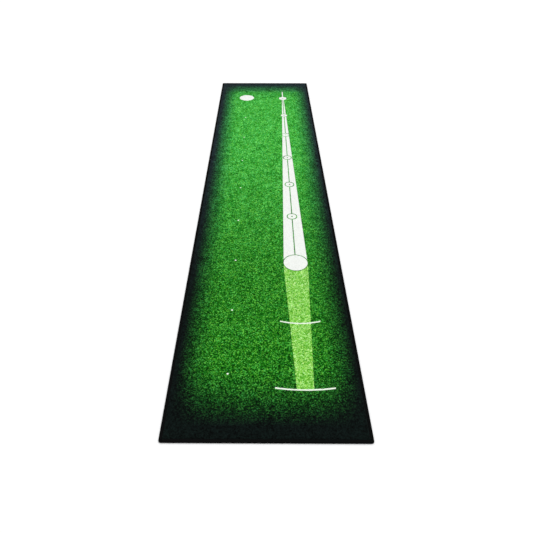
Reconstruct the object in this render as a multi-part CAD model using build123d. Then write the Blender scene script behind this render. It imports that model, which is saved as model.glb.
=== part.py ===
from build123d import *
import os

# Practice putting mat: a long tufted carpet strip with a printed pile, a rubber underside
# and an overlocked edge. Millimetres. The origin is the centre of the underside, +Z is up,
# +Y runs from the player's end to the hole end, and +X is to the player's right.
# The dye goes right through the pile, so every printed mark is a group of tufts of one
# colour. Each group is a full-depth solid that meets its neighbours edge to edge.

# ---- Sheet -------------------------------------------------------------------------
MAT_WIDTH = 650.0
MAT_LENGTH = 3000.0
CORNER_RADIUS = 8.0

RUBBER_THICKNESS = 1.6
PRECOAT_THICKNESS = 0.4
PRIMARY_BACKING_THICKNESS = 0.6
PILE_HEIGHT = 5.0

# ---- Overlocked edge ---------------------------------------------------------------
BINDING_WIDTH = 11.0            # yarn band seen from above
BINDING_OVERHANG = 1.5          # yarn outside the cut edge of the sheet
BINDING_UNDER = 1.0             # yarn under the sheet, let into the squeezed rubber
BINDING_OVER = 1.4              # yarn over the squeezed pile
SQUEEZED_PILE_HEIGHT = 2.4      # pile flattened by the yarn
STITCH_WIDTH = 1.0              # needle thread along the band's inner edge
STITCH_HEIGHT = 0.8
BINDING_TOP_ROUND = 2.6
BINDING_BOTTOM_ROUND = 1.4
BINDING_INNER_ROUND = 0.8
INNER_CORNER_RADIUS = 1.0

# ---- Printed layout, measured from the player's end and from the centre line ---------
LANE_X = 130.0                  # centre of the putting lane
HOLE_X = -130.0                 # centre of the hole disc and the distance dots

START_DISTANCE = 835.0          # where the ball is placed
START_DIAMETER = 103.0
OUTLINE_WIDTH = 3.5

TARGET_DISTANCE = 2685.0
TARGET_DIAMETER = 54.0
TARGET_CENTRE_DIAMETER = 8.0
TARGET_LINE_WIDTH = 7.0
TARGET_LINE_END = 2812.0

PUTTING_LANE_START_WIDTH = START_DIAMETER
PUTTING_LANE_END_WIDTH = 11.5
AIM_LINE_WIDTH = 4.5

RING_FIRST_DISTANCE = 1185.0
RING_PITCH = 300.0
RING_COUNT = 5
RING_INNER_DIAMETER = 42.0
RING_OUTER_DIAMETER = 51.5
RING_CENTRE_DIAMETER = 8.5

NEAR_ARC_DISTANCE = 186.0       # backstroke mark nearest the player
NEAR_ARC_RADIUS = 650.0
NEAR_ARC_CHORD = 200.0
FAR_ARC_DISTANCE = 481.0
FAR_ARC_RADIUS = 255.0
FAR_ARC_CHORD = 152.0
ARC_LINE_WIDTH = 6.0

STROKE_LANE_START_WIDTH = 106.0
STROKE_LANE_END_WIDTH = 57.0

HOLE_DISTANCE = 2695.0
HOLE_DIAMETER = 103.0

DOT_FIRST_DISTANCE = 250.0
DOT_PITCH = 300.0
DOT_COUNT = 8
DOT_DIAMETER = 8.0

# ---- Levels ------------------------------------------------------------------------
PRECOAT_Z = RUBBER_THICKNESS
PRIMARY_Z = PRECOAT_Z + PRECOAT_THICKNESS
PILE_Z = PRIMARY_Z + PRIMARY_BACKING_THICKNESS
SQUEEZED_TOP_Z = PILE_Z + SQUEEZED_PILE_HEIGHT
BINDING_TOP_Z = SQUEEZED_TOP_Z + BINDING_OVER
FULL_PILE_INSET = BINDING_WIDTH + STITCH_WIDTH


def along(distance):
    """Y of a place measured from the player's end."""
    return distance - MAT_LENGTH / 2


def mat_outline(inset, radius):
    """The mat's outline, drawn in from the outer edge by inset."""
    return RectangleRounded(MAT_WIDTH - 2 * inset, MAT_LENGTH - 2 * inset, radius)


def slab(sketch, bottom, top):
    return Pos(0, 0, bottom) * extrude(sketch, amount=top - bottom)


def disc(x, distance, diameter):
    return Pos(x, along(distance)) * Circle(diameter / 2)


def ring(x, distance, inner_diameter, outer_diameter):
    return disc(x, distance, outer_diameter) - disc(x, distance, inner_diameter)


def wedge(x, near, near_width, far, far_width):
    """A straight-sided strip along Y that changes width from its near to its far end."""
    return Polygon(
        (x - near_width / 2, along(near)),
        (x + near_width / 2, along(near)),
        (x + far_width / 2, along(far)),
        (x - far_width / 2, along(far)),
        align=None,
    )


def strip(x, near, far, width):
    return wedge(x, near, width, far, width)


def swing_arc(distance, radius, chord):
    """A curved line that bulges towards the player; distance is to its nearest point."""
    line = ring(
        LANE_X, distance + radius, 2 * radius - ARC_LINE_WIDTH, 2 * radius + ARC_LINE_WIDTH
    )
    return line & strip(LANE_X, distance - ARC_LINE_WIDTH, distance + radius / 2, chord)


# ---- Printed marks, as flat outlines --------------------------------------------------

def start_marks():
    outline_diameter = START_DIAMETER + 2 * OUTLINE_WIDTH
    start = disc(LANE_X, START_DISTANCE, START_DIAMETER)
    outline = ring(LANE_X, START_DISTANCE, START_DIAMETER, outline_diameter)
    return start, outline


def target_marks():
    centre = disc(LANE_X, TARGET_DISTANCE, TARGET_CENTRE_DIAMETER)
    target = disc(LANE_X, TARGET_DISTANCE, TARGET_DIAMETER)
    target += strip(LANE_X, TARGET_DISTANCE, TARGET_LINE_END, TARGET_LINE_WIDTH)
    return target - centre, centre


def ball_rings():
    """Ball-sized white rounds with a green outline and a green centre dot."""
    places = [RING_FIRST_DISTANCE + RING_PITCH * i for i in range(RING_COUNT)]
    outlines = Sketch() + [ring(LANE_X, d, RING_INNER_DIAMETER, RING_OUTER_DIAMETER) for d in places]
    rounds = Sketch() + [ring(LANE_X, d, RING_CENTRE_DIAMETER, RING_INNER_DIAMETER) for d in places]
    centres = Sketch() + [disc(LANE_X, d, RING_CENTRE_DIAMETER) for d in places]
    return outlines, rounds, centres


def putting_lane(covered):
    """The white wedge and the green aim line down its middle, without what covers them."""
    lane = wedge(
        LANE_X, START_DISTANCE, PUTTING_LANE_START_WIDTH, TARGET_DISTANCE, PUTTING_LANE_END_WIDTH
    )
    line = strip(LANE_X, START_DISTANCE, TARGET_DISTANCE, AIM_LINE_WIDTH)
    return lane - line - covered, line - covered


def stroke_lane(covered):
    """The pale green wedge behind the ball, ending in the nearest arc."""
    lane = wedge(
        LANE_X, NEAR_ARC_DISTANCE, STROKE_LANE_END_WIDTH, START_DISTANCE, STROKE_LANE_START_WIDTH
    )
    return lane & disc(LANE_X, NEAR_ARC_DISTANCE + NEAR_ARC_RADIUS, 2 * NEAR_ARC_RADIUS) - covered


def distance_dots():
    return Sketch() + [
        disc(HOLE_X, DOT_FIRST_DISTANCE + DOT_PITCH * i, DOT_DIAMETER) for i in range(DOT_COUNT)
    ]


def printed_marks():
    """Every coloured group of tufts but the plain turf, by node name."""
    start, start_outline = start_marks()
    target, target_centre = target_marks()
    ring_outlines, ring_rounds, ring_centres = ball_rings()
    arcs = swing_arc(NEAR_ARC_DISTANCE, NEAR_ARC_RADIUS, NEAR_ARC_CHORD)
    arcs += swing_arc(FAR_ARC_DISTANCE, FAR_ARC_RADIUS, FAR_ARC_CHORD)
    over_lane = start + start_outline + target + target_centre
    over_lane += ring_outlines + ring_rounds + ring_centres
    lane, aim_line = putting_lane(over_lane)
    return {
        "putting_lane_pile": lane,
        "aim_line_pile": aim_line,
        "stroke_lane_pile": stroke_lane(start + start_outline + arcs),
        "swing_arc_pile": arcs,
        "start_disc_pile": start,
        "start_outline_pile": start_outline,
        "ball_ring_outline_pile": ring_outlines,
        "ball_ring_pile": ring_rounds,
        "ball_ring_centre_pile": ring_centres,
        "target_pile": target,
        "target_centre_pile": target_centre,
        "hole_disc_pile": disc(HOLE_X, HOLE_DISTANCE, HOLE_DIAMETER),
        "distance_dot_pile": distance_dots(),
    }


# ---- Layers of the sheet ---------------------------------------------------------------

def cut_outline():
    """The cut edge of the sheet, inside the yarn."""
    return mat_outline(BINDING_OVERHANG, CORNER_RADIUS - BINDING_OVERHANG)


def rubber_backing():
    """Full thickness in the middle, squeezed to make room for the yarn along the rim."""
    middle = slab(mat_outline(BINDING_WIDTH, INNER_CORNER_RADIUS), 0, BINDING_UNDER)
    return middle + slab(cut_outline(), BINDING_UNDER, RUBBER_THICKNESS)


def turf_pile(marks):
    """The green pile: full height inside the stitching, flattened under the yarn."""
    standing = slab(mat_outline(FULL_PILE_INSET, INNER_CORNER_RADIUS), PILE_Z, PILE_Z + PILE_HEIGHT)
    flattened = slab(cut_outline(), PILE_Z, SQUEEZED_TOP_Z)
    turf = standing + flattened
    for mark in marks:
        turf -= mark
    return turf


def edge_binding():
    """The band of overlock yarn that wraps the cut edge, as one closed C-shaped loop."""
    outer = mat_outline(0, CORNER_RADIUS)
    opening = mat_outline(BINDING_WIDTH, INNER_CORNER_RADIUS)
    band = slab(outer - opening, 0, BINDING_TOP_Z)
    band = fillet(top_face(band).outer_wire().edges(), BINDING_TOP_ROUND)
    band = fillet(top_face(band).inner_wires()[0].edges(), BINDING_INNER_ROUND)
    band = fillet(bottom_face(band).outer_wire().edges(), BINDING_BOTTOM_ROUND)
    return band - slab(cut_outline(), BINDING_UNDER, SQUEEZED_TOP_Z)


def top_face(solid):
    return solid.faces().sort_by(Axis.Z)[-1]


def bottom_face(solid):
    return solid.faces().sort_by(Axis.Z)[0]


def edge_stitching():
    """The needle thread that locks the yarn, lying along the band's inner edge."""
    outer = mat_outline(BINDING_WIDTH, INNER_CORNER_RADIUS)
    inner = mat_outline(FULL_PILE_INSET, INNER_CORNER_RADIUS)
    return slab(outer - inner, SQUEEZED_TOP_Z, SQUEEZED_TOP_Z + STITCH_HEIGHT)


def build():
    marks = {
        name: slab(outline, PILE_Z, PILE_Z + PILE_HEIGHT)
        for name, outline in printed_marks().items()
    }
    return {
        "rubber_backing": rubber_backing(),
        "adhesive_precoat": slab(cut_outline(), PRECOAT_Z, PRIMARY_Z),
        "primary_backing": slab(cut_outline(), PRIMARY_Z, PILE_Z),
        "turf_pile": turf_pile(marks.values()),
        **marks,
        "edge_binding": edge_binding(),
        "edge_stitching": edge_stitching(),
    }


os.makedirs("parts", exist_ok=True)
for node, shape in build().items():
    export_step(shape, f"parts/{node}.step")
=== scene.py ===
"""The looks of the practice putting mat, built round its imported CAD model. Metres, row frame.

The pile is real geometry. One jittered sheet of tuft tips and gaps is triangulated over the whole
mat, with the printed marks' outlines in it, and each mark's tufts are cut out of that sheet as
their own closed piece. The edge is wrapped in separate overlock yarn loops, locked by a row of
needle-thread stitches.
"""

import math

import bpy
import numpy as np
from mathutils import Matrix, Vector
from mathutils.geometry import delaunay_2d_cdt


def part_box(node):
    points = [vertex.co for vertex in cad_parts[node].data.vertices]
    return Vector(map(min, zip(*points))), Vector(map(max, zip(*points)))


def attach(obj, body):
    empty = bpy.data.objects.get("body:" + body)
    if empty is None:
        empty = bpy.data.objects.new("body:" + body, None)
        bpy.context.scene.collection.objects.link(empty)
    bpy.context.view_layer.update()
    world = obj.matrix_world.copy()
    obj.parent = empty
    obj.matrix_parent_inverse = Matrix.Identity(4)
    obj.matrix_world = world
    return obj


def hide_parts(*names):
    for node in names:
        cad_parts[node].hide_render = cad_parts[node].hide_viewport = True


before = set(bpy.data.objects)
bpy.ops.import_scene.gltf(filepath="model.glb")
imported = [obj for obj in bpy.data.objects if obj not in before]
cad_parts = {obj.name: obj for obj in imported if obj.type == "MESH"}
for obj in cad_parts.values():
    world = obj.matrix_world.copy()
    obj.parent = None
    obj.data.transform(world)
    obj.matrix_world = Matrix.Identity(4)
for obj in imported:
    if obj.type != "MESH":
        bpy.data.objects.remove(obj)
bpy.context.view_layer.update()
MM = 0.001
rng = np.random.default_rng(20)

# ---- Sizes that only the looks need ----
TUFT_SPACING = 2.4 * MM       # between neighbouring tuft points
ROW_SHARE = math.sqrt(0.75)   # of the spacing, between rows: the tufts sit in even triangles
TUFT_JITTER = 0.34            # share of the spacing
TUFT_DEPTH = 1.6 * MM         # from the tips to the gaps
TIP_BIAS = 1.7                # above 1, more points are near the tips than in the gaps
TUFT_PROUD = 0.25 * MM        # how far the tips stand above the CAD pile
PILE_UNEVEN = 0.15 * MM       # height of the pile's gentle bumps
UNEVEN_SIZE = 45 * MM         # width of those bumps
PILE_SHOULDER = 5.0 * MM      # width over which the pile leans down to the seam
PILE_SHOULDER_DROP = 1.2 * MM
PILE_FRINGE = 0.9 * MM        # how far the outermost tufts hang over the stitches
OUTLINE_RAGGED = 0.25 * MM    # how far a printed outline wanders between tufts
TURF_STRIPS = 5               # lengthwise strips that the turf is split into
LOOP_PITCH = 3.2 * MM         # between neighbouring overlock loops
LOOP_SLANT = 0.45             # share of the pitch by which a loop leans along the edge
LOOP_OVERLAP = 1.06           # width of a loop, as a share of its pitch
LOOP_STRAY = 0.06             # of a loop's place and width, as shares; of its height, in mm
THREAD_WIDTH = 0.8 * MM
STITCH_HALF = 0.44            # half a stitch's length, as a share of the loop pitch
STITCH_DIP = 0.5 * MM         # how far a stitch's ends go down
STITCH_TAPER = 0.45           # how much thinner its ends are
STITCH_STRAY = 0.08 * MM
WAFFLE_PITCH = 10.0 * MM      # pattern pressed into the rubber
WAFFLE_DEPTH = 0.4 * MM
SEEN_SHARE = 0.95             # of a piece's map, for the faces that can be seen
SKIN_SHARE = 0.97             # of each tube's cell in the map, for its skin
TOUCHING = 0.02 * MM          # closer than this counts as the same place
MARK_GAP = 30 * MM            # marks of one kind are at least this far apart
LANE_END = 6 * MM             # points this close to a lane's far end belong to it


# ---- Reading the layout from the frame ----

def node_points(node):
    return np.array([v.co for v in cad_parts[node].data.vertices])


def top_points(node):
    points = node_points(node)
    return points[points[:, 2] > points[:, 2].max() - TOUCHING]


def bottom_points(node):
    points = node_points(node)
    return points[points[:, 2] < points[:, 2].min() + TOUCHING]


def groups_along_y(node):
    """The node's separate solids, each as an array of its top points, nearest the player first."""
    points = top_points(node)
    points = points[np.argsort(points[:, 1])]
    breaks = np.nonzero(np.diff(points[:, 1]) > MARK_GAP)[0] + 1
    return np.split(points, breaks)


def circle_of(points):
    """Centre x, centre y and radius of a round outline."""
    low, high = points.min(0), points.max(0)
    return (low[0] + high[0]) / 2, (low[1] + high[1]) / 2, (high[0] - low[0]) / 2


def circles_of(node):
    return [circle_of(points) for points in groups_along_y(node)]


def wedge_of(node, centre_x):
    """A lane's half-width as (slope, offset) over y, from its widest corner and its far corner."""
    points = top_points(node)
    half = np.abs(points[:, 0] - centre_x)
    wide_y = points[half.argmax(), 1]
    far_y = max(points[:, 1].min(), points[:, 1].max(), key=lambda y: abs(y - wide_y))
    at_far = np.abs(points[:, 1] - far_y) < LANE_END
    tip = np.nonzero(at_far)[0][half[at_far].argmax()]
    slope = (half.max() - half[tip]) / (wide_y - points[tip, 1])
    return slope, half.max() - slope * wide_y


def arc_of(points):
    """A curve that bulges towards the player: its centre, inner and outer radius and half chord."""
    centre_x = (points[:, 0].min() + points[:, 0].max()) / 2
    half_chord = points[:, 0].max() - centre_x
    end = points[points[:, 0] > points[:, 0].max() - TOUCHING]
    sagitta = end[:, 1].min() - points[:, 1].min()
    outer = (half_chord ** 2 + sagitta ** 2) / (2 * sagitta)
    centre_y = points[:, 1].min() + outer
    inner = math.hypot(half_chord, centre_y - end[:, 1].max())
    return centre_x, centre_y, inner, outer, half_chord


def heights_at_cut(node):
    """The heights of the node's points on the mat's cut edge."""
    points = node_points(node)
    return points[points[:, 0] > CUT_X - TOUCHING, 2]


def corner_radius(node):
    """The radius of a rounded rectangle's corners, from how far its diagonal falls short."""
    x, y = node_points(node)[:, :2].T
    return (x.max() + y.max() - (x + y).max()) / (2 - math.sqrt(2))


# The mat and its layers.
HALF_WIDTH, HALF_LENGTH, BINDING_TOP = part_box("edge_binding")[1]
(_, _, PILE_BOTTOM), (CUT_X, CUT_Y, PILE_TOP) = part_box("turf_pile")
PILE_X, PILE_Y = top_points("turf_pile").max(0)[:2]
RIM_TOP = heights_at_cut("turf_pile").max()
SEAM_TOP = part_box("edge_stitching")[1][2]
SEAM_MIDDLE = HALF_WIDTH - (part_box("edge_stitching")[1][0] + PILE_X) / 2
RUBBER_X, RUBBER_Y = bottom_points("rubber_backing").max(0)[:2]
RUBBER_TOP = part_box("rubber_backing")[1][2]
RUBBER_RIM = heights_at_cut("rubber_backing").min()
OUTER_CORNER = corner_radius("edge_binding")
CUT_CORNER = corner_radius("turf_pile")

# The printed marks.
START = circle_of(top_points("start_disc_pile"))
START_OUTLINE = circle_of(top_points("start_outline_pile"))
HOLE = circle_of(top_points("hole_disc_pile"))
DOTS = circles_of("distance_dot_pile")
RING_OUTLINES = circles_of("ball_ring_outline_pile")
RING_ROUNDS = circles_of("ball_ring_pile")
RING_CENTRES = circles_of("ball_ring_centre_pile")
NEAR_ARC, FAR_ARC = [arc_of(points) for points in groups_along_y("swing_arc_pile")]
LANE_X, START_Y = START[:2]
PUTTING_WEDGE = wedge_of("putting_lane_pile", LANE_X)
STROKE_WEDGE = wedge_of("stroke_lane_pile", LANE_X)
STROKE_START_Y = NEAR_ARC[1] - NEAR_ARC[3]
AIM_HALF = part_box("aim_line_pile")[1][0] - LANE_X
TARGET_CENTRE = circle_of(top_points("target_centre_pile"))
TARGET_X, TARGET_Y = TARGET_CENTRE[:2]
TARGET_DISC = (TARGET_X, TARGET_Y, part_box("target_pile")[1][0] - TARGET_X)
TARGET_LINE_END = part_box("target_pile")[1][1]
TARGET_POINTS = top_points("target_pile")
TARGET_LINE_TIPS = TARGET_POINTS[TARGET_POINTS[:, 1] > TARGET_LINE_END - TOUCHING]
TARGET_LINE_HALF = np.ptp(TARGET_LINE_TIPS[:, 0]) / 2


# ---- Which mark a point belongs to ----

def in_circle(x, y, circle):
    return (x - circle[0]) ** 2 + (y - circle[1]) ** 2 < circle[2] ** 2


def in_any_circle(x, y, circles):
    return np.any([in_circle(x, y, circle) for circle in circles], axis=0)


def in_arc(x, y, arc):
    centre_x, centre_y, inner, outer, half_chord = arc
    radius = np.hypot(x - centre_x, y - centre_y)
    in_band = (radius > inner) & (radius < outer)
    return in_band & (np.abs(x - centre_x) < half_chord) & (y < centre_y)


def in_wedge(x, y, wedge, low, high):
    slope, offset = wedge
    return (np.abs(x - LANE_X) < slope * y + offset) & (y > low) & (y < high)


def in_target(x, y):
    on_line = (np.abs(x - TARGET_X) < TARGET_LINE_HALF) & (y > TARGET_Y) & (y < TARGET_LINE_END)
    return in_circle(x, y, TARGET_DISC) | on_line


def in_stroke_lane(x, y):
    beyond_near_arc = in_circle(x, y, NEAR_ARC[:3]) | (y > NEAR_ARC[1])
    return in_wedge(x, y, STROKE_WEDGE, STROKE_START_Y, START_Y) & beyond_near_arc


def in_rim(x, y):
    return (np.abs(x) > PILE_X) | (np.abs(y) > PILE_Y)


def in_outline(x, y):
    """Inside the cut edge, with its rounded corners."""
    over_x = np.maximum(np.abs(x) - (CUT_X - CUT_CORNER), 0)
    over_y = np.maximum(np.abs(y) - (CUT_Y - CUT_CORNER), 0)
    return np.hypot(over_x, over_y) < CUT_CORNER


def strip_edges():
    """The x of the lines between the turf's strips."""
    return np.linspace(-PILE_X, PILE_X, TURF_STRIPS + 1)[1:-1]


def piece_of(x, y):
    """The name of the pile piece that each point belongs to; the first mark in the list wins."""
    on_aim_line = (np.abs(x - LANE_X) < AIM_HALF) & (y > START_Y) & (y < TARGET_Y)
    marks = [
        ("squeezed_rim", in_rim(x, y)),
        ("start_disc", in_circle(x, y, START)),
        ("start_outline", in_circle(x, y, START_OUTLINE)),
        ("ring_centres", in_any_circle(x, y, RING_CENTRES)),
        ("rings", in_any_circle(x, y, RING_ROUNDS)),
        ("ring_outlines", in_any_circle(x, y, RING_OUTLINES)),
        ("target_centre", in_circle(x, y, TARGET_CENTRE)),
        ("target", in_target(x, y)),
        ("swing_arcs", in_arc(x, y, NEAR_ARC) | in_arc(x, y, FAR_ARC)),
        ("aim_line", on_aim_line),
        ("putting_lane", in_wedge(x, y, PUTTING_WEDGE, START_Y, TARGET_Y)),
        ("stroke_lane", in_stroke_lane(x, y)),
        ("hole_disc", in_circle(x, y, HOLE)),
        ("distance_dots", in_any_circle(x, y, DOTS)),
    ]
    strip = np.searchsorted(strip_edges(), x)
    names = np.array([f"turf_{i + 1}" for i in range(TURF_STRIPS)], dtype=object)[strip]
    for name, inside in reversed(marks):
        names[inside] = name
    return names


# ---- Outlines, as chains of points ----

def straight(start, end):
    steps = max(1, round(math.dist(start, end) / TUFT_SPACING))
    return np.linspace(start, end, steps + 1)


def round_chain(circle, start_angle=0.0, end_angle=2 * math.pi):
    x, y, radius = circle
    steps = max(10, round(radius * (end_angle - start_angle) / TUFT_SPACING))
    angles = np.linspace(start_angle, end_angle, steps + 1)
    return np.stack([x + radius * np.cos(angles), y + radius * np.sin(angles)], 1)


def wedge_chains(wedge, low, high):
    slope, offset = wedge
    low_half, high_half = slope * low + offset, slope * high + offset
    return [straight((LANE_X + side * low_half, low), (LANE_X + side * high_half, high))
            for side in (-1, 1)]


def arc_chains(arc):
    """The two curves and the two square ends of a curved line."""
    centre_x, centre_y, inner, outer, half_chord = arc
    down = -math.pi / 2
    curves = []
    for radius in (inner, outer):
        half = math.asin(half_chord / radius)
        curves.append(round_chain((centre_x, centre_y, radius), down - half, down + half))
    return curves + [straight(curves[0][end], curves[1][end]) for end in (0, -1)]


def mark_chains():
    circles = [START, START_OUTLINE, HOLE, TARGET_CENTRE, TARGET_DISC]
    circles += RING_CENTRES + RING_ROUNDS + RING_OUTLINES + DOTS
    chains = [round_chain(circle) for circle in circles]
    chains += arc_chains(NEAR_ARC) + arc_chains(FAR_ARC)
    chains += wedge_chains(PUTTING_WEDGE, START_Y, TARGET_Y)
    chains += wedge_chains(STROKE_WEDGE, STROKE_START_Y, START_Y)
    for side in (-1, 1):
        aim_x, line_x = LANE_X + side * AIM_HALF, TARGET_X + side * TARGET_LINE_HALF
        chains.append(straight((aim_x, START_Y), (aim_x, TARGET_Y)))
        chains.append(straight((line_x, TARGET_Y), (line_x, TARGET_LINE_END)))
    ends = [(TARGET_X + side * TARGET_LINE_HALF, TARGET_LINE_END) for side in (-1, 1)]
    chains.append(straight(*ends))
    return chains


def rectangle_chains(x, y):
    corners = [(-x, -y), (x, -y), (x, y), (-x, y), (-x, -y)]
    return [straight(a, b) for a, b in zip(corners, corners[1:])]


def cut_outline():
    """The rounded outline of the sheet, as four sides and four corners."""
    x, y, r = CUT_X - CUT_CORNER, CUT_Y - CUT_CORNER, CUT_CORNER
    quarter = math.pi / 2
    corners = [(x, y), (-x, y), (-x, -y), (x, -y)]
    rounds = [round_chain((*corner, r), i * quarter, (i + 1) * quarter)
              for i, corner in enumerate(corners)]
    sides = [straight(rounds[i][-1], rounds[(i + 1) % 4][0]) for i in range(4)]
    return rounds + sides


def roughen(chain):
    """Moves a chain's inner points a little, so that a printed edge follows the tufts."""
    rough = chain.copy()
    rough[1:-1] += rng.uniform(-1, 1, rough[1:-1].shape) * OUTLINE_RAGGED
    return rough


# ---- The sheet of tufts ----

ALL_TRIANGLES = 0       # the triangulation's setting that keeps every triangle
SHEET_MERGE = 1e-6      # metres within which it joins two points of the sheet
RIM_MERGE = 1e-9        # the same for a piece's underside, where no point may be lost


def tuft_grid():
    """Jittered points in offset rows, as tufting needles leave them."""
    x_steps = int(2 * CUT_X / TUFT_SPACING)
    y_steps = int(2 * CUT_Y / (TUFT_SPACING * ROW_SHARE))
    rows, columns = np.mgrid[1:y_steps, 1:x_steps]
    x = -CUT_X + (columns + 0.5 * (rows % 2) - 0.25) * 2 * CUT_X / x_steps
    y = -CUT_Y + rows * 2 * CUT_Y / y_steps
    points = np.stack([x.ravel(), y.ravel()], 1)
    points += rng.uniform(-1, 1, points.shape) * TUFT_JITTER * TUFT_SPACING
    return points[in_outline(*points.T)]


def clear_of(points, chains):
    """The points that keep their distance from every chain, so that no sliver triangles appear."""
    cell = TUFT_SPACING / 2
    middles = [(chain[:-1] + chain[1:]) / 2 for chain in chains]
    taken = np.floor(np.concatenate(chains + middles) / cell).astype(np.int64)
    cells = np.floor(points / cell).astype(np.int64)
    row_length = 2 ** 20    # more cells than any row has, so that each cell gets its own number
    numbers, taken_numbers = (grid[:, 0] * row_length + grid[:, 1] for grid in (cells, taken))
    return points[~np.isin(numbers, taken_numbers)]


def anticlockwise(points, triangles):
    a, b, c = (points[triangles[:, i]] for i in range(3))
    turn = (b[:, 0] - a[:, 0]) * (c[:, 1] - a[:, 1]) - (b[:, 1] - a[:, 1]) * (c[:, 0] - a[:, 0])
    return np.where(turn[:, None] < 0, triangles[:, ::-1], triangles)


def triangulate(points, chains):
    """Points (n, 2) and triangles (m, 3) of a flat sheet that has every chain as edges."""
    parts, edges, count = [points], [], len(points)
    for chain in chains:
        index = np.arange(count, count + len(chain))
        edges.append(np.stack([index[:-1], index[1:]], 1))
        parts.append(chain)
        count += len(chain)
    vertices = [Vector(p) for p in np.concatenate(parts).tolist()]
    edges = np.concatenate(edges).tolist()
    result = delaunay_2d_cdt(vertices, edges, [], ALL_TRIANGLES, SHEET_MERGE)
    sheet = np.array([tuple(v) for v in result[0]])
    return sheet, anticlockwise(sheet, np.array(result[2]))


def smooth_noise(x, y, size, seed):
    """Gentle bumps about as wide as size, mostly from -1 to 1: waves in fixed random directions."""
    waves = np.random.default_rng(seed)
    wave_count, usual_peak = 7, 4
    total = np.zeros(len(x))
    for _ in range(wave_count):
        angle, phase = waves.uniform(0, 2 * math.pi, 2)
        turns = 2 * math.pi / (size * waves.uniform(0.7, 1.6))
        total += np.sin(turns * (x * math.cos(angle) + y * math.sin(angle)) + phase)
    return total / usual_peak


def tuft_heights(sheet):
    """How high each point stands: tips and gaps, gentle bumps, and a shoulder at the seam."""
    x, y = sheet.T
    gap = rng.uniform(0, 1, len(x)) ** TIP_BIAS
    height = PILE_TOP + TUFT_PROUD - TUFT_DEPTH * gap
    height += PILE_UNEVEN * smooth_noise(x, y, UNEVEN_SIZE, seed=3)
    inboard = np.minimum(PILE_X - np.abs(x), PILE_Y - np.abs(y))
    lean = np.clip(1 - inboard / PILE_SHOULDER, 0, 1)
    return height - PILE_SHOULDER_DROP * lean ** 2


def rim_of(triangles):
    """The directed edges (a, b) that only one triangle has."""
    halves = np.concatenate([triangles[:, [0, 1]], triangles[:, [1, 2]], triangles[:, [2, 0]]])
    span = triangles.max() + 1
    back = halves[:, 1] * span + halves[:, 0]
    return halves[~np.isin(halves[:, 0] * span + halves[:, 1], back)]


def filled(points, rim):
    """Triangles over the area on the left of the directed rim edges, with no new points."""
    vertices = [Vector(p) for p in points.tolist()]
    result = delaunay_2d_cdt(vertices, rim.tolist(), [], ALL_TRIANGLES, RIM_MERGE)
    if len(result[0]) != len(points):
        raise RuntimeError("an outline crosses itself")
    source = np.array([ids[0] for ids in result[3]])
    triangles = anticlockwise(points, source[np.array(result[2])]).tolist()
    owner = {}
    for number, (a, b, c) in enumerate(triangles):
        owner.update({(a, b): number, (b, c): number, (c, a): number})
    fence = set(map(tuple, rim.tolist()))
    waiting = [owner[edge] for edge in fence if edge in owner]
    inside = set()
    while waiting:
        number = waiting.pop()
        if number in inside:
            continue
        inside.add(number)
        a, b, c = triangles[number]
        for edge in ((a, b), (b, c), (c, a)):
            if edge not in fence and edge[::-1] in owner:
                waiting.append(owner[edge[::-1]])
    return np.array([triangles[number] for number in sorted(inside)])


def closed_piece(name, sheet, heights, triangles):
    """A solid with some triangles of the sheet as its top, steep sides and a flat underside."""
    used, top = np.unique(triangles, return_inverse=True)
    top = top.reshape(-1, 3)
    rim = rim_of(top)
    rim_points = np.unique(rim)
    below = np.full(len(used), -1)
    below[rim_points] = np.arange(len(rim_points))
    flat = sheet[used][rim_points]
    underside = filled(flat, below[rim])
    shift = len(used)
    walls = np.stack([rim[:, 1], rim[:, 0], below[rim[:, 0]] + shift, below[rim[:, 1]] + shift], 1)
    upper = np.column_stack([sheet[used], heights[used]])
    if name.startswith("turf"):
        upper = hang_over_seam(upper)
    points = np.concatenate([upper, np.column_stack([flat, np.full(len(flat), PILE_BOTTOM)])])
    return mesh_object(name, points, [top], [walls, underside[:, ::-1] + shift])


def hang_over_seam(points):
    """Leans the outermost tufts out over the stitches by uneven amounts."""
    for axis, edge in ((0, PILE_X), (1, PILE_Y)):
        outermost = np.abs(points[:, axis]) > edge - TOUCHING
        reach = rng.uniform(0, PILE_FRINGE, outermost.sum())
        points[outermost, axis] += np.sign(points[outermost, axis]) * reach
    return points


# ---- Mesh helpers ----

def add_object(name, data):
    made = bpy.data.objects.new(name, data)
    bpy.context.scene.collection.objects.link(made)
    return made


def mesh_object(name, points, smooth_faces, flat_faces=()):
    """A mesh object from arrays. The faces are lists of (m, k) arrays of point numbers."""
    groups = [faces for faces in [*smooth_faces, *flat_faces] if len(faces)]
    loops = np.concatenate([faces.ravel() for faces in groups]).astype(np.int32)
    sizes = np.concatenate([np.full(len(faces), faces.shape[1]) for faces in groups])
    smooth = np.zeros(len(sizes), bool)
    smooth[:sum(len(faces) for faces in smooth_faces)] = True
    mesh = bpy.data.meshes.new(name)
    mesh.vertices.add(len(points))
    mesh.vertices.foreach_set("co", np.asarray(points, np.float32).ravel())
    mesh.loops.add(len(loops))
    mesh.loops.foreach_set("vertex_index", loops)
    mesh.polygons.add(len(sizes))
    mesh.polygons.foreach_set("loop_start", (np.cumsum(sizes) - sizes).astype(np.int32))
    mesh.update(calc_edges=True)
    mesh.polygons.foreach_set("use_smooth", smooth)
    mesh.validate()
    return add_object(name, mesh)


def set_uv(piece, uv):
    layer = piece.data.uv_layers.new(name="OFBake")
    layer.data.foreach_set("uv", uv.astype(np.float32).ravel())


def field_of(items, field, kind, width=1):
    """One field of every item in a mesh, as an array with this many columns."""
    values = np.zeros(len(items) * width, kind)
    items.foreach_get(field, values)
    return values if width == 1 else values.reshape(-1, width)


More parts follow.
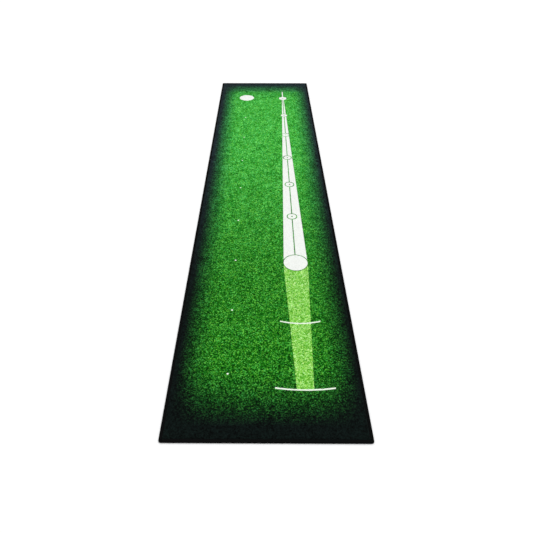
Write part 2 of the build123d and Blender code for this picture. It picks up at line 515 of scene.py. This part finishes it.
def corner_points(piece):
    """For each face corner: its point, the centre of its face, and whether that face is smooth."""
    mesh = piece.data
    points = field_of(mesh.vertices, "co", np.float32, 3)
    corners = field_of(mesh.loops, "vertex_index", np.int32)
    totals = field_of(mesh.polygons, "loop_total", np.int32)
    centres = field_of(mesh.polygons, "center", np.float32, 3)
    smooth = field_of(mesh.polygons, "use_smooth", bool)
    return points[corners], np.repeat(centres, totals, axis=0), np.repeat(smooth, totals)


def folded_uv(piece):
    """A flat map seen from above, with a long narrow piece folded into sections side by side.

    The smooth faces, which are the ones to be seen, fill the map up to SEEN_SHARE. The walls and
    the hidden side lie over each other in the narrow strip beside them.
    """
    points, centres, seen = corner_points(piece)
    low = points.min(0)
    width, length = np.ptp(points, 0)[:2]
    margin = 2 * TUFT_SPACING
    sections = max(1, round(math.sqrt(length / width)))
    fold = length / sections
    scale = 1 / max(sections * (width + margin), fold + 2 * margin)
    section = np.clip((centres[:, 1] - low[1]) // fold, 0, sections - 1)
    u = points[:, 0] - low[0] + margin / 2 + section * (width + margin)
    v = points[:, 1] - low[1] + margin - section * fold
    whole = np.stack([u, v], 1) * scale
    strip_width = 0.8 * (1 - SEEN_SHARE)
    strip = strip_width * whole + (1 - strip_width, 0.5)
    set_uv(piece, np.where(seen[:, None], SEEN_SHARE * whole, strip))


def finish_piece(piece, material, slot, node):
    piece.data.materials.append(material)
    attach(piece, "root")
    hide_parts(node)


def tubes(name, centres, across, up, sides):
    """Many closed tubes in one mesh; centres, across and up are (tubes, steps, 3)."""
    count, steps = centres.shape[:2]
    angles = np.arange(sides) * 2 * math.pi / sides
    rings = (centres[:, :, None] + across[:, :, None] * np.cos(angles)[:, None]
             + up[:, :, None] * np.sin(angles)[:, None])
    index = np.arange(count * steps * sides).reshape(count, steps, sides)
    a, b = index[:, :-1], index[:, 1:]
    skin = np.stack([a, np.roll(a, -1, 2), np.roll(b, -1, 2), b], -1).reshape(-1, 4)
    caps = np.concatenate([index[:, 0, ::-1], index[:, -1]])
    piece = mesh_object(name, rings.reshape(-1, 3), [skin, caps])
    set_uv(piece, tube_uv(count, steps, angles))
    return piece


def tube_uv(count, steps, angles):
    """A square cell of the map for each tube: its skin laid flat, with both caps beyond its end."""
    sides = len(angles)
    cells = math.ceil(math.sqrt(count))
    cell = np.arange(count)
    corner = np.stack([cell % cells, cell // cells], 1)
    along, around = np.meshgrid(np.arange(steps - 1), np.arange(sides), indexing="ij")
    near, far = along / steps, (along + 1) / steps
    left, right = around / sides, (around + 1) / sides
    quads = np.stack([near, left, near, right, far, right, far, left], -1).reshape(1, -1, 2)
    skin = (corner[:, None] + quads * [1, SKIN_SHARE]) / cells
    cap = np.stack([0.5 + 0.5 * np.cos(angles), 0.5 + 0.5 * np.sin(angles)], 1) / sides
    cap = (corner[:, None] + [1 - 1 / steps, 0] + cap * [sides / steps, 1]) / cells
    return np.concatenate([skin.reshape(-1, 2), cap.reshape(-1, 2), cap.reshape(-1, 2)])


# ---- Shader helpers ----

class Shader:
    """A material's node tree, with a short call for each kind of node that the looks use."""

    def __init__(self, name):
        self.material = bpy.data.materials.new(name)
        self.material.use_nodes = True
        self.tree = self.material.node_tree
        self.surface = self.tree.nodes["Principled BSDF"]
        self.place = self.node("TexCoord").outputs["Object"]

    def node(self, kind, **inputs):
        """A new node, with these inputs set or linked."""
        node = self.tree.nodes.new("ShaderNode" + kind)
        for name, value in inputs.items():
            self.put(node.inputs[name], value)
        return node

    def put(self, socket, value):
        if isinstance(value, bpy.types.NodeSocket):
            self.tree.links.new(value, socket)
        elif isinstance(value, tuple) and len(value) == 3 and socket.type == "RGBA":
            socket.default_value = (*value, 1)
        else:
            socket.default_value = value

    def math(self, operation, *values):
        node = self.node("Math")
        node.operation = operation
        for socket, value in zip(node.inputs, values):
            self.put(socket, value)
        return node.outputs[0]

    def smooth(self, value, low, high, start=0.0, end=1.0):
        """Gives start below low, end above high, and a smooth step between them."""
        node = self.node("MapRange")
        node.interpolation_type = "SMOOTHSTEP"
        for socket, given in zip(node.inputs, (value, low, high, start, end)):
            self.put(socket, given)
        return node.outputs[0]

    def mix(self, share, first, second, blend="MIX"):
        node = self.node("Mix")
        node.data_type = "RGBA"
        node.blend_type = blend
        self.put(node.inputs["Factor"], share)
        self.put(node.inputs[6], first)
        self.put(node.inputs[7], second)
        return node.outputs[2]

    def tint(self, colour, by, share=1.0):
        """The colour multiplied by another one, fully or in part."""
        return self.mix(share, colour, by, "MULTIPLY")

    def noise(self, size, detail=2.0, distortion=0.0):
        """Noise from 0 to 1 with features about as wide as size."""
        node = self.node("TexNoise", Vector=self.place, Scale=1 / size, Detail=detail,
                         Distortion=distortion)
        return node.outputs["Fac"]

    def cells(self, size):
        """Two random values from 0 to 1 for each upright, ragged column about as wide as size."""
        raggedness, softness = 0.8, 0.25
        stray = self.node("TexNoise", Vector=self.place, Scale=2 / size)
        moved = self.node("VectorMath")
        moved.operation = "MULTIPLY_ADD"
        self.put(moved.inputs[0], stray.outputs["Color"])
        moved.inputs[1].default_value = (raggedness * size,) * 3
        self.put(moved.inputs[2], self.place)
        node = self.node("TexVoronoi")
        node.voronoi_dimensions = "2D"
        node.feature = "SMOOTH_F1"
        self.put(node.inputs["Vector"], moved.outputs[0])
        node.inputs["Scale"].default_value = 1 / size
        node.inputs["Smoothness"].default_value = softness
        split = self.node("SeparateColor", Color=node.outputs["Color"])
        return split.outputs[0], split.outputs[1]

    def axis(self, name):
        return self.node("SeparateXYZ", Vector=self.place).outputs[name]

    def ramp(self, value, stops):
        """A colour ramp; stops are (position, colour)."""
        node = self.node("ValToRGB", Fac=value)
        elements = node.color_ramp.elements
        while len(elements) < len(stops):
            elements.new(0.5)
        for element, (position, colour) in zip(elements, stops):
            element.position = position
            element.color = (*colour, 1)
        return node.outputs[0]

    def tones(self, value, colours):
        """A colour ramp through three or five colours, dark to light."""
        return self.ramp(value, list(zip(TONE_STOPS[len(colours)], colours)))

    def grey(self, value):
        """A value as a colour."""
        node = self.node("CombineColor")
        for socket in node.inputs:
            self.put(socket, value)
        return node.outputs[0]

    def bump(self, height, distance):
        return self.node("Bump", Height=height, Distance=distance).outputs[0]

    def finish(self, colour, roughness, normal=None, sheen=0.0, sheen_tint=(1, 1, 1), specular=0.5):
        given = {
            "Base Color": colour,
            "Roughness": roughness,
            "Sheen Weight": sheen,
            "Sheen Tint": sheen_tint,
            "Specular IOR Level": specular,
        }
        if normal is not None:
            given["Normal"] = normal
        for name, value in given.items():
            self.put(self.surface.inputs[name], value)
        return self.material


# ---- Materials ----

SIDE_FADE = (16 * MM, 145 * MM)    # distances from the outer edge: rim colour, then full colour
FADE_SHIFT = 4 * MM                # the lit middle of the print sits this far to the lane's side
PLAYER_FADE = (50 * MM, 300 * MM)
CORNER_FADE = (12 * MM, 260 * MM)  # the rim's black reaches further in at the player's corners
PLAYER_CORNER_FADE = (50 * MM, 330 * MM)
CORNER_LOSS = 0.7
HEADER_STEPS = [                   # out of the hole end's dark band: from, to, gain
    (45 * MM, 170 * MM, 0.30),
    (145 * MM, 225 * MM, 0.55),
    (225 * MM, 340 * MM, 0.15),
]
LIGHTER = (400 * MM, 2150 * MM)    # from the player's end: where the colour gets lighter, painted sheen of the pile seen at a grazing angle
RIM_COLOURS = ((0.0042, 0.01, 0.0085), (0.018, 0.034, 0.041))  # player's end, hole end; the hole end's lighter, bluer black is painted sheen
FADED_TINTS = ((0.55, 0.97, 1.00), (0.55, 1.00, 1.20))  # the same, on the way to the rim; the hole end's bluer tint is painted sheen
FADE_HOLD = (1.35, 0.75)           # the fade takes dark flecks sooner than light ones
YELLOWER, BLUER = (1.40, 1.03, 0.60), (0.60, 0.97, 1.40)  # tints of single tufts
DRIFTED = (0.85, 0.98, 1.15)       # tint of wide areas
HUE_DRIFT = 0.4                    # how much of that tint they take
HUE_DRIFT_SIZE = 90 * MM
TUFT_TONE_SIZE = 3.2 * MM
CURL_SIZE, CURL_WIDTH = 6 * MM, 0.09  # spacing and relative width of the curly light flecks
CLUMP_SIZE, BLOTCH_SIZE = 12 * MM, 50 * MM
FIBRE_SIZE = 0.9 * MM
FIBRE_DEPTH = 0.02                 # how far the fibres lighten and darken every pile
SWING_FIBRE_DEPTH = 0.13           # and how much further where the hue swings
TONE_STOPS = {3: (0.0, 0.5, 1.0), 5: (0.0, 0.35, 0.6, 0.8, 1.0)}  # places of that many tones
NOISE_LOW, NOISE_HIGH = 0.3, 0.7   # most of a noise's values lie between these


def from_player(shader):
    return shader.math("ADD", shader.axis("Y"), HALF_LENGTH)


def rim_fade(shader):
    """1 in the middle of the mat, falling to 0 at its rim, where the print goes to black."""
    off_middle = shader.math("ABSOLUTE", shader.math("SUBTRACT", shader.axis("X"), FADE_SHIFT))
    side = shader.math("SUBTRACT", HALF_WIDTH, off_middle)
    hole = shader.math("SUBTRACT", HALF_LENGTH, shader.axis("Y"))
    header = 0.0
    for start, end, gain in HEADER_STEPS:
        header = shader.math("ADD", header, shader.smooth(hole, start, end, 0.0, gain))
    player = from_player(shader)
    corner = shader.math("MULTIPLY", shader.smooth(side, *CORNER_FADE, CORNER_LOSS, 0.0),
                         shader.smooth(player, *PLAYER_CORNER_FADE, 1.0, 0.0))
    fade = shader.math("MULTIPLY", shader.smooth(side, *SIDE_FADE), header)
    fade = shader.math("MULTIPLY", fade, shader.smooth(player, *PLAYER_FADE))
    return shader.math("MULTIPLY", fade, shader.math("SUBTRACT", 1.0, corner))


def fleck(shader, tuft, lighter):
    """The print's grass pattern, about 0 to 1: tuft tones, curly light flecks, clumps and blotches.

    The clumps and blotches show more towards the hole end, where the colour is lighter.
    """
    curl = shader.noise(CURL_SIZE, detail=1.5, distortion=0.6)
    off_ridge = shader.math("ABSOLUTE", shader.math("SUBTRACT", curl, 0.5))
    ridge = shader.smooth(off_ridge, 0.0, CURL_WIDTH, 1.0, 0.0)
    layers = [    # what varies, its middle and its weight
        (tuft, 0.5, 0.9),
        (ridge, 0.35, 0.35),
        (shader.noise(CLUMP_SIZE), 0.5, shader.smooth(lighter, 0.0, 1.0, 0.50, 1.10)),
        (shader.noise(BLOTCH_SIZE), 0.5, shader.smooth(lighter, 0.0, 1.0, 0.30, 0.60)),
    ]
    total = 0.5
    for value, middle, weight in layers:
        swing = shader.math("MULTIPLY", shader.math("SUBTRACT", value, middle), weight)
        total = shader.math("ADD", total, swing)
    return total


def painted_gap_shade(shader, gap_share):
    """Painted shade: gap_share in the gaps between the tufts, 1 at their tips."""
    low = PILE_TOP - TUFT_DEPTH
    return shader.grey(shader.smooth(shader.axis("Z"), low, PILE_TOP, gap_share, 1.0))


def fibre_shade(shader, depth):
    """Fine light and dark fibres, by the given depth either way."""
    fibre = shader.noise(FIBRE_SIZE, detail=1.0)
    return shader.grey(shader.smooth(fibre, NOISE_LOW, NOISE_HIGH, 1 - depth, 1 + depth))


def faded(shader, colour, pattern, lighter):
    """The print's colour going to black at the rim, dark flecks first, with less red on the way."""
    fade = rim_fade(shader)
    # Towards the hole end the fade and the rim are lighter and bluer: painted sheen
    colour = shader.tint(colour, shader.mix(fade, shader.mix(lighter, *FADED_TINTS), (1, 1, 1)))
    rim = shader.tint(shader.mix(lighter, *RIM_COLOURS), shader.grey(pattern))
    hold = shader.smooth(pattern, 0.0, 1.0, *FADE_HOLD)
    return shader.mix(shader.math("POWER", fade, hold), rim, colour)


def pile_material(name, near, far, gap_share, hue_swing=1.0, fades=True):
    """near and far are the print's tones, dark to light, at the player's end and towards the hole.

    The far tones are lighter by painted sheen. The hue swings between tufts and over wide areas.
    """
    shader = Shader(name)
    tone, hue = shader.cells(TUFT_TONE_SIZE)
    lighter = shader.smooth(from_player(shader), *LIGHTER)
    pattern = fleck(shader, tone, lighter)
    # Lighter towards the hole end: painted sheen of the grazing view
    colour = shader.mix(lighter, shader.tones(pattern, near), shader.tones(pattern, far))
    colour = shader.tint(colour, shader.mix(hue, YELLOWER, BLUER), hue_swing)
    drift = shader.smooth(shader.noise(HUE_DRIFT_SIZE), 0.35, 0.65, 0.0, HUE_DRIFT * hue_swing)
    colour = shader.tint(colour, DRIFTED, drift)
    # Painted shade: darker in the gaps between the tufts
    colour = shader.tint(colour, painted_gap_shade(shader, gap_share))
    colour = shader.tint(colour, fibre_shade(shader, FIBRE_DEPTH + SWING_FIBRE_DEPTH * hue_swing))
    if fades:
        colour = faded(shader, colour, pattern, lighter)
    ruffle_size, ruffle_depth = 1.1 * MM, 0.35 * MM
    bump = shader.bump(shader.noise(ruffle_size, detail=1.0), ruffle_depth)
    return shader.finish(colour, 0.92, bump, sheen=0.02, sheen_tint=(0.8, 1, 0.95), specular=0.06)


def green_pile():
    near = [
        (0.0001, 0.026, 0.0001),
        (0.0014, 0.101, 0.001),
        (0.016, 0.218, 0.006),
        (0.060, 0.395, 0.027),
        (0.155, 0.62, 0.083),
    ]
    # Lighter than near: painted sheen of the grazing view
    far = [
        (0.004, 0.126, 0.003),
        (0.016, 0.301, 0.012),
        (0.052, 0.505, 0.043),
        (0.121, 0.70, 0.097),
        (0.245, 0.88, 0.205),
    ]
    return pile_material("turf_green_pile", near, far, 0.5)


def light_green_pile():
    near = [
        (0.05, 0.30, 0.008),
        (0.15, 0.52, 0.038),
        (0.29, 0.72, 0.095),
        (0.43, 0.85, 0.20),
        (0.62, 0.95, 0.38),
    ]
    # Lighter than near: painted sheen of the grazing view
    far = [
        (0.10, 0.40, 0.03),
        (0.26, 0.64, 0.10),
        (0.44, 0.83, 0.21),
        (0.58, 0.93, 0.34),
        (0.75, 0.98, 0.53),
    ]
    return pile_material("light_green_pile", near, far, 0.65, hue_swing=0.3, fades=False)


def white_pile():
    tones = [(0.84, 0.86, 0.82), (0.89, 0.91, 0.87), (0.92, 0.94, 0.90)]
    return pile_material("white_pile", tones, tones, 0.88, hue_swing=0.02, fades=False)


def thin_white_pile():
    """Narrow white marks, which take a little green from the pile beside them."""
    tones = [(0.82, 0.95, 0.77), (0.88, 0.98, 0.83), (0.92, 0.99, 0.87)]
    return pile_material("thin_white_pile", tones, tones, 0.90, hue_swing=0.02, fades=False)


def noise_ramp(shader, tone, dark, light):
    return shader.ramp(tone, [(NOISE_LOW, dark), (NOISE_HIGH, light)])


def yarn_material():
    shader = Shader("overlock_yarn")
    tone = shader.noise(1.5 * MM)
    colour = noise_ramp(shader, tone, (0.0012, 0.0016, 0.0016), (0.0040, 0.0046, 0.0046))
    strands = shader.noise(0.5 * MM, detail=1.0)
    return shader.finish(colour, 0.85, shader.bump(strands, 0.15 * MM), sheen=0.01, specular=0.04)


def thread_material():
    shader = Shader("needle_thread")
    tone = shader.noise(0.8 * MM, detail=1.0)
    colour = noise_ramp(shader, tone, (0.003, 0.004, 0.004), (0.010, 0.011, 0.011))
    return shader.finish(colour, 0.7, shader.bump(tone, 0.1 * MM), specular=0.15)


def rubber_material():
    shader = Shader("rubber_underside")
    tone = shader.noise(14 * MM, detail=4.0)
    colour = noise_ramp(shader, tone, (0.012, 0.012, 0.012), (0.022, 0.022, 0.023))
    # Painted shade: darker in the pressed hollows than on the raised faces of the underside
    raised, hollow = 1.25, 0.6
    waffle = shader.grey(shader.smooth(shader.axis("Z"), 0.0, WAFFLE_DEPTH, raised, hollow))
    colour = shader.tint(colour, waffle)
    skin = shader.noise(1.2 * MM, detail=3.0)
    rough = shader.smooth(tone, NOISE_LOW, NOISE_HIGH, 0.72, 0.88)
    return shader.finish(colour, rough, shader.bump(skin, 0.12 * MM), specular=0.3)


def latex_material():
    shader = Shader("latex_precoat")
    tone = shader.noise(6 * MM, detail=4.0)
    colour = noise_ramp(shader, tone, (0.42, 0.39, 0.33), (0.55, 0.52, 0.45))
    return shader.finish(colour, 0.6, shader.bump(tone, 0.2 * MM), specular=0.4)


def backing_cloth_material():
    """A plain weave of flat slit-film tapes."""
    shader = Shader("woven_backing")
    tape_pair = 2.5 * MM
    turns = 2 * math.pi / tape_pair
    across = shader.math("SINE", shader.math("MULTIPLY", shader.axis("X"), turns))
    along = shader.math("SINE", shader.math("MULTIPLY", shader.axis("Y"), turns))
    weave = shader.smooth(shader.math("MULTIPLY", across, along), -0.6, 0.6)
    colour = shader.ramp(weave, [(0.0, (0.02, 0.02, 0.021)), (1.0, (0.06, 0.06, 0.062))])
    return shader.finish(colour, 0.65, shader.bump(weave, 0.2 * MM), specular=0.35)


# ---- Pile ----

def pile_looks():
    """For each pile piece: its material, its slot and the CAD node it replaces."""
    green = (green_pile(), "green_pile")
    light_green = (light_green_pile(), "light_green_pile")
    white = (white_pile(), "white_pile")
    thin_white = (thin_white_pile(), "white_pile")
    looks = {
        "squeezed_rim": (*green, "turf_pile"),
        "start_disc": (*white, "start_disc_pile"),
        "start_outline": (*green, "start_outline_pile"),
        "ring_centres": (*green, "ball_ring_centre_pile"),
        "rings": (*white, "ball_ring_pile"),
        "ring_outlines": (*green, "ball_ring_outline_pile"),
        "target_centre": (*green, "target_centre_pile"),
        "target": (*white, "target_pile"),
        "swing_arcs": (*thin_white, "swing_arc_pile"),
        "aim_line": (*green, "aim_line_pile"),
        "putting_lane": (*white, "putting_lane_pile"),
        "stroke_lane": (*light_green, "stroke_lane_pile"),
        "hole_disc": (*white, "hole_disc_pile"),
        "distance_dots": (*thin_white, "distance_dot_pile"),
    }
    for strip in range(TURF_STRIPS):
        looks[f"turf_{strip + 1}"] = (*green, "turf_pile")
    return looks


def build_pile():
    looks = pile_looks()
    outline = cut_outline()
    borders = rectangle_chains(PILE_X, PILE_Y)
    borders += [straight((x, -PILE_Y), (x, PILE_Y)) for x in strip_edges()]
    marks = [roughen(chain) for chain in mark_chains()]
    chains = outline + borders + marks
    sheet, triangles = triangulate(clear_of(tuft_grid(), chains), chains)
    middle = sheet[triangles].mean(1)
    triangles = triangles[in_outline(*middle.T)]
    names = piece_of(*sheet[triangles].mean(1).T)
    heights = tuft_heights(sheet)
    rim_heights = np.minimum(heights, RIM_TOP)
    for name in sorted(set(names)):
        own_heights = rim_heights if name == "squeezed_rim" else heights
        piece = closed_piece(name, sheet, own_heights, triangles[names == name])
        folded_uv(piece)
        finish_piece(piece, *looks[name])


# ---- Edge: overlock yarn and needle thread ----

def to_outer_edge(angle):
    """The distance from the seam's corner to the mat's outer edge, in this direction."""
    band = HALF_WIDTH - PILE_X
    inset = band - OUTER_CORNER
    dx, dy = math.cos(angle), math.sin(angle)
    if band * dy < inset * dx:
        return band / dx
    if band * dx < inset * dy:
        return band / dy
    toward = (dx + dy) * inset
    return toward + math.sqrt(toward ** 2 - 2 * inset ** 2 + OUTER_CORNER ** 2)


def edge_rails(turn, half_side, other_half):
    """The lines between neighbouring loops along one side and round its last corner.

    Gives their outer and inner ends. The side is laid out as the one that faces +X, then turned by
    this many quarter turns.
    """
    steps = round(2 * half_side / LOOP_PITCH)
    band = HALF_WIDTH - PILE_X
    rails = [(other_half + band, y, 0.0, SEAM_MIDDLE)
             for y in np.linspace(-half_side, half_side, steps + 1)]
    corner_steps = round((2 * (band - OUTER_CORNER) + OUTER_CORNER * math.pi / 2) / LOOP_PITCH)
    for i in range(1, corner_steps + 1):
        angle = i / corner_steps * math.pi / 2
        reach = to_outer_edge(angle)
        x, y = other_half + reach * math.cos(angle), half_side + reach * math.sin(angle)
        rails.append((x, y, angle, reach - (band - SEAM_MIDDLE)))
    rails = np.array(rails)
    quarter = turn * math.pi / 2
    x, y, angle, length = rails.T
    outer = np.stack([x * math.cos(quarter) - y * math.sin(quarter),
                      x * math.sin(quarter) + y * math.cos(quarter)], 1)
    angle = angle + quarter
    inner = outer - np.stack([np.cos(angle), np.sin(angle)], 1) * length[:, None]
    return outer, inner


def along_rails(ends, place):
    """Points at fractional places along a row of rail ends."""
    steps = np.arange(len(ends))
    return np.stack([np.interp(place, steps, ends[:, 0]), np.interp(place, steps, ends[:, 1])], -1)


def loop_profile():
    """The yarn's path round the edge: share of the way in, height, half-thickness and lean."""
    top, under = 0.70 * MM, 0.50 * MM
    crest, seam, reach = BINDING_TOP - top, SEAM_TOP - 0.45 * MM, SEAM_MIDDLE
    steps_on_top = 7
    path = [    # distance in from the edge, height, half-thickness
        (reach, seam, 0.35 * MM),
        (reach - 1.0 * MM, crest - 0.12 * MM, 0.62 * MM),
        (reach * 0.75, crest, top),
        (reach * 0.42, crest + 0.02 * MM, top),
        (2.3 * MM, crest - 0.10 * MM, top),
        (1.15 * MM, BINDING_TOP - 1.45 * MM, top),
        (0.74 * MM, BINDING_TOP - 2.7 * MM, top),
        (0.72 * MM, 2.2 * MM, top),
        (1.0 * MM, 1.15 * MM, 0.62 * MM),
        (2.0 * MM, 0.55 * MM, under),
        (reach * 0.5, under, under),
        (reach, under + 0.05 * MM, 0.4 * MM),
    ]
    inset, height, thickness = np.array(path).T
    side = np.where(np.arange(len(path)) < steps_on_top, 1, -1)
    upright_share = 0.15    # of the way in, where the loop goes straight round the edge
    lean = LOOP_SLANT * side * np.clip(inset / reach - upright_share, 0, 1)
    return inset / reach, height, thickness, lean


def build_overlock(name, outer, inner, material):
    share, height, thickness, lean = loop_profile()
    count = len(outer) - 1
    middle = np.arange(count)[:, None] + 0.5 + lean
    middle = middle + rng.uniform(-LOOP_STRAY, LOOP_STRAY, (count, 1))
    left, right = middle - 0.5, middle + 0.5
    share = share + np.zeros_like(middle)

    def spot(place):
        out, seam = along_rails(outer, place), along_rails(inner, place)
        return out + (seam - out) * share[..., None]

    flat = spot(middle)
    lift = height + rng.uniform(-LOOP_STRAY, LOOP_STRAY, (count, 1)) * MM * np.ones_like(height)
    centres = np.concatenate([flat, np.maximum(lift, thickness)[..., None]], 2)
    width = (spot(right) - spot(left)) / 2 * LOOP_OVERLAP
    width = width * rng.uniform(1 - LOOP_STRAY, 1 + LOOP_STRAY, (count, 1, 1))
    across = np.concatenate([width, np.zeros((*width.shape[:2], 1))], 2)
    path = np.gradient(centres, axis=1)
    normal = np.cross(path, across)
    normal /= np.linalg.norm(normal, axis=2, keepdims=True)
    piece = tubes(name, centres, across, normal * thickness[:, None], sides=6)
    finish_piece(piece, material, "edge_yarn", "edge_binding")


def build_needle_thread(name, inner, material):
    """One short arched stitch over the foot of each loop."""
    count = len(inner) - 1
    along = np.linspace(-STITCH_HALF, STITCH_HALF, 6)
    place = np.arange(count)[:, None] + 0.5 + along
    toward_end = np.abs(along) / STITCH_HALF
    arch = SEAM_TOP - THREAD_WIDTH / 2 - STITCH_DIP * toward_end ** 4
    flat = along_rails(inner, place)
    flat += rng.uniform(-STITCH_STRAY, STITCH_STRAY, (count, 1, 2))
    centres = np.concatenate([flat, np.broadcast_to(arch[:, None], (count, len(along), 1))], 2)
    path = np.gradient(centres, axis=1)
    across = np.stack([-path[..., 1], path[..., 0], np.zeros(path.shape[:2])], 2)
    across /= np.linalg.norm(across, axis=2, keepdims=True)
    up = np.cross(path, across)
    up /= np.linalg.norm(up, axis=2, keepdims=True)
    half = THREAD_WIDTH / 2 * (1 - STITCH_TAPER * toward_end ** 6)
    piece = tubes(name, centres, across * half[:, None], up * half[:, None], sides=5)
    finish_piece(piece, material, "stitch_thread", "edge_stitching")


def build_edge():
    yarn, thread = yarn_material(), thread_material()
    for turn, side in enumerate(["right", "hole_end", "left", "player_end"]):
        half_side, other_half = (PILE_X, PILE_Y) if side.endswith("end") else (PILE_Y, PILE_X)
        outer, inner = edge_rails(turn, half_side, other_half)
        build_overlock(f"overlock_{side}", outer, inner, yarn)
        build_needle_thread(f"needle_thread_{side}", inner, thread)


# ---- Layers under the pile ----

def waffle_lines(inner, cut):
    """Where the sheet's height may change: at the cut edge, the rim and the waffle's lines."""
    hollows = 2 * round(inner / WAFFLE_PITCH)
    inside = np.linspace(-inner, inner, 2 * hollows + 1)
    return np.concatenate([[-cut, -inner], inside, [inner, cut]])


def build_rubber():
    """The rubber sheet, with square hollows pressed into its underside, and a thin rim."""
    x, y = waffle_lines(RUBBER_X, CUT_X), waffle_lines(RUBBER_Y, CUT_Y)
    columns, rows = np.meshgrid(np.arange(len(x)), np.arange(len(y)), indexing="ij")
    hollow = (columns % 2 == 1) & (rows % 2 == 1)
    rim = (columns < 2) | (rows < 2) | (columns > len(x) - 3) | (rows > len(y) - 3)
    height = np.where(rim, RUBBER_RIM, np.where(hollow, WAFFLE_DEPTH, 0.0))
    points = np.stack([x[columns], y[rows], height], -1).reshape(-1, 3)
    index = np.arange(len(points)).reshape(len(x), len(y))
    quads = np.stack([index[:-1, :-1], index[:-1, 1:], index[1:, 1:], index[1:, :-1]], -1)
    border = np.concatenate([index[:-1, 0], index[-1, :-1], index[:0:-1, -1], index[0, :0:-1]])
    corner_cut = CUT_CORNER * (1 - math.sqrt(0.5))
    corners = index[[0, 0, -1, -1], [0, -1, 0, -1]]
    points[corners, :2] -= np.sign(points[corners, :2]) * corner_cut
    lid = points[border] * (1, 1, 0) + (0, 0, RUBBER_TOP)
    above = len(points) + np.arange(len(border))
    walls = np.stack([border, np.roll(border, -1), np.roll(above, -1), above], 1)
    points = np.concatenate([points, lid])
    piece = mesh_object("rubber_sheet", points, [quads.reshape(-1, 4)], [walls, above[None]])
    folded_uv(piece)
    finish_piece(piece, rubber_material(), "rubber", "rubber_backing")


def dress_hidden_layers():
    """The two layers between rubber and pile stay as the CAD has them, in their own materials."""
    materials = {
        "adhesive_precoat": latex_material(),
        "primary_backing": backing_cloth_material(),
    }
    for node, material in materials.items():
        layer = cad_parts[node].data
        layer.materials.clear()
        layer.materials.append(material)


# ---- Stage ----

FLOOR_HALF = 12.0
AMBIENT, BACKDROP = 0.66, 1.05  # the surroundings as light, and as the camera sees them
SUN_STRENGTH = 1.45
SUN_SPREAD = 50                 # degrees; wide, for soft shadows
SUN_LEAN = (-18, 12, 0)         # degrees away from straight down, about x, y and z

CAMERA_PLACE = (-0.0133, -2.2435, 1.3355)
CAMERA_DOWN = 40.55             # degrees below the horizon
CAMERA_TURN = 0.29              # degrees to the left
CAMERA_LENS = 32.29             # mm, on the usual 36 mm sensor
CAMERA_SHIFT = 0.0112           # the picture is cropped a little off centre


def build_floor():
    shader = Shader("studio_floor")
    tone = shader.noise(0.8, detail=1.0)
    colour = shader.ramp(tone, [(0.0, (0.97, 0.97, 0.97)), (1.0, (0.99, 0.99, 0.99))])
    material = shader.finish(colour, 0.9, specular=0.1)
    corners = np.array([(-1, -1, 0), (1, -1, 0), (1, 1, 0), (-1, 1, 0)]) * FLOOR_HALF
    floor = mesh_object("floor", corners, [], [np.array([[0, 1, 2, 3]])])
    floor.data.materials.append(material)


def build_light():
    world = bpy.data.worlds.new("studio")
    world.use_nodes = True
    tree = world.node_tree
    background = tree.nodes["Background"].inputs
    background["Color"].default_value = (0.99, 0.995, 1.0, 1)
    seen = tree.nodes.new("ShaderNodeLightPath").outputs["Is Camera Ray"]
    strength = tree.nodes.new("ShaderNodeMapRange")
    strength.inputs["To Min"].default_value = AMBIENT
    strength.inputs["To Max"].default_value = BACKDROP
    tree.links.new(seen, strength.inputs["Value"])
    tree.links.new(strength.outputs["Result"], background["Strength"])
    bpy.context.scene.world = world

    sun = bpy.data.lights.new("softbox", "SUN")
    sun.energy = SUN_STRENGTH
    sun.angle = math.radians(SUN_SPREAD)
    lamp = add_object("softbox", sun)
    lamp.rotation_euler = [math.radians(angle) for angle in SUN_LEAN]

    bpy.context.scene.view_settings.view_transform = "Standard"
    bpy.context.scene.view_settings.look = "None"


def build_camera():
    camera = add_object("camera", bpy.data.cameras.new("camera"))
    camera.data.lens = CAMERA_LENS
    camera.data.shift_x = CAMERA_SHIFT
    camera.location = CAMERA_PLACE
    camera.rotation_euler = (math.radians(90 - CAMERA_DOWN), 0, math.radians(CAMERA_TURN))
    bpy.context.scene.camera = camera


build_pile()
build_edge()
build_rubber()
dress_hidden_layers()
build_floor()
build_light()
build_camera()
